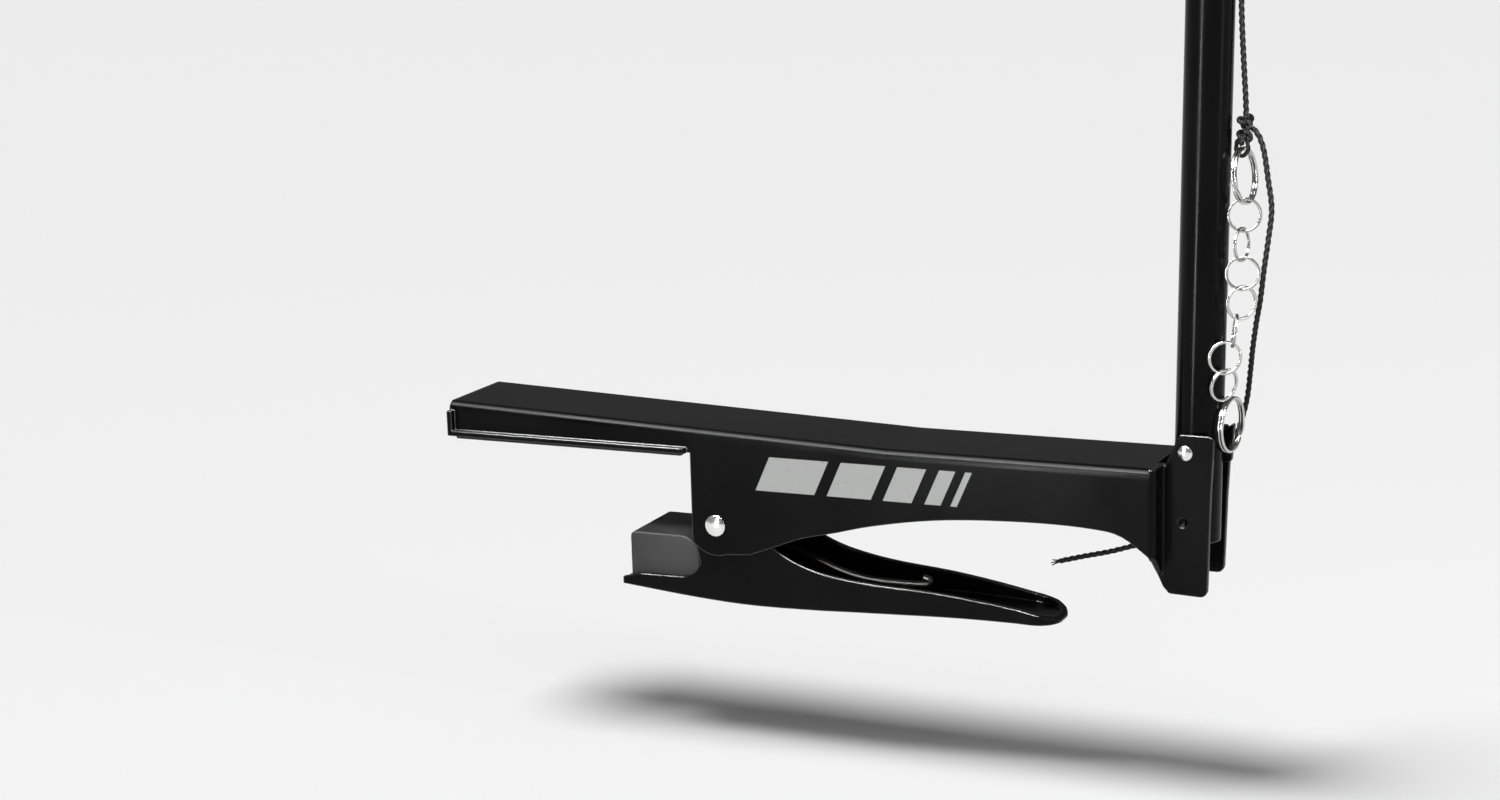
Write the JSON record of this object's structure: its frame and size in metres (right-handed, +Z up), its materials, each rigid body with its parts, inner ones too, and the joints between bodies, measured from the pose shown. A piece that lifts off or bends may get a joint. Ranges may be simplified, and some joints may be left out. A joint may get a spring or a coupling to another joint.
{
  "type": "table tennis net clamp",
  "caption": "Spring clamp that grips a table's edge and carries a net post, with a cord and a ring chain that hooks onto the arm to tension the net.",
  "frame": {"origin": "top edge of the table's side, where the upper jaw's underside meets the arm's stop edge, at the middle of the arm's width", "axes": "+X out from the table along the arm, towards the post; +Y along the table's edge; +Z up, along the post"},
  "size_m": [0.2434, 0.036, 0.2],
  "materials": {
    "black_paint": "satin black powder coat with worn edges",
    "felt_pad": "thin matt black felt-like pad",
    "black_rubber": "matt black rubber",
    "bright_steel": "bright nickel-plated rivet",
    "nylon": "natural white nylon",
    "zinc_steel": "zinc-plated steel",
    "spring_steel": "plain drawn spring wire",
    "black_gloss": "gloss black paint",
    "black_plastic": "moulded black plastic",
    "ring_steel": "bright nickel-plated wire",
    "black_cord": "black braided polyester cord"
  },
  "bodies": {
    "arm": {"arm_bracket": "black_paint", "upper_jaw_pad": "felt_pad", "pivot_pin": "bright_steel", "pivot_washers": "nylon", "spring_sleeve": "zinc_steel", "torsion_spring": "spring_steel", "post_tube": "black_gloss", "post_cap": "black_plastic", "post_rivet": "bright_steel", "tension_cord": "black_cord", "stopper_knot": "black_cord"},
    "lever": {"lever": "black_paint", "lower_jaw_pad": "black_rubber"},
    "chain": {"hook_ring": "ring_steel", "chain_ring_1": "ring_steel", "chain_ring_2": "ring_steel", "chain_ring_3": "ring_steel", "chain_ring_4": "ring_steel", "chain_ring_5": "ring_steel", "chain_ring_6": "ring_steel", "chain_ring_7": "ring_steel", "knot_ring": "ring_steel", "ring_knot": "black_cord", "hitch_knot": "black_cord", "cord_tail": "black_cord"}
  },
  "joints": [
    {"name": "jaw_hinge", "type": "hinge", "parent": "arm", "child": "lever", "pos_m": [0.0075, 0, -0.02], "axis": [0, -1, 0], "range_deg": [0, 14], "stiffness_Nm_per_rad": 2.3, "springref_deg": -29.79, "deforming": ["torsion_spring"]},
    {"name": "chain_swing", "type": "hinge", "parent": "arm", "child": "chain", "pos_m": [0.1563, 0.002, 0.0999], "axis": [0, -1, 0], "range_deg": [0, 20]}
  ]
}
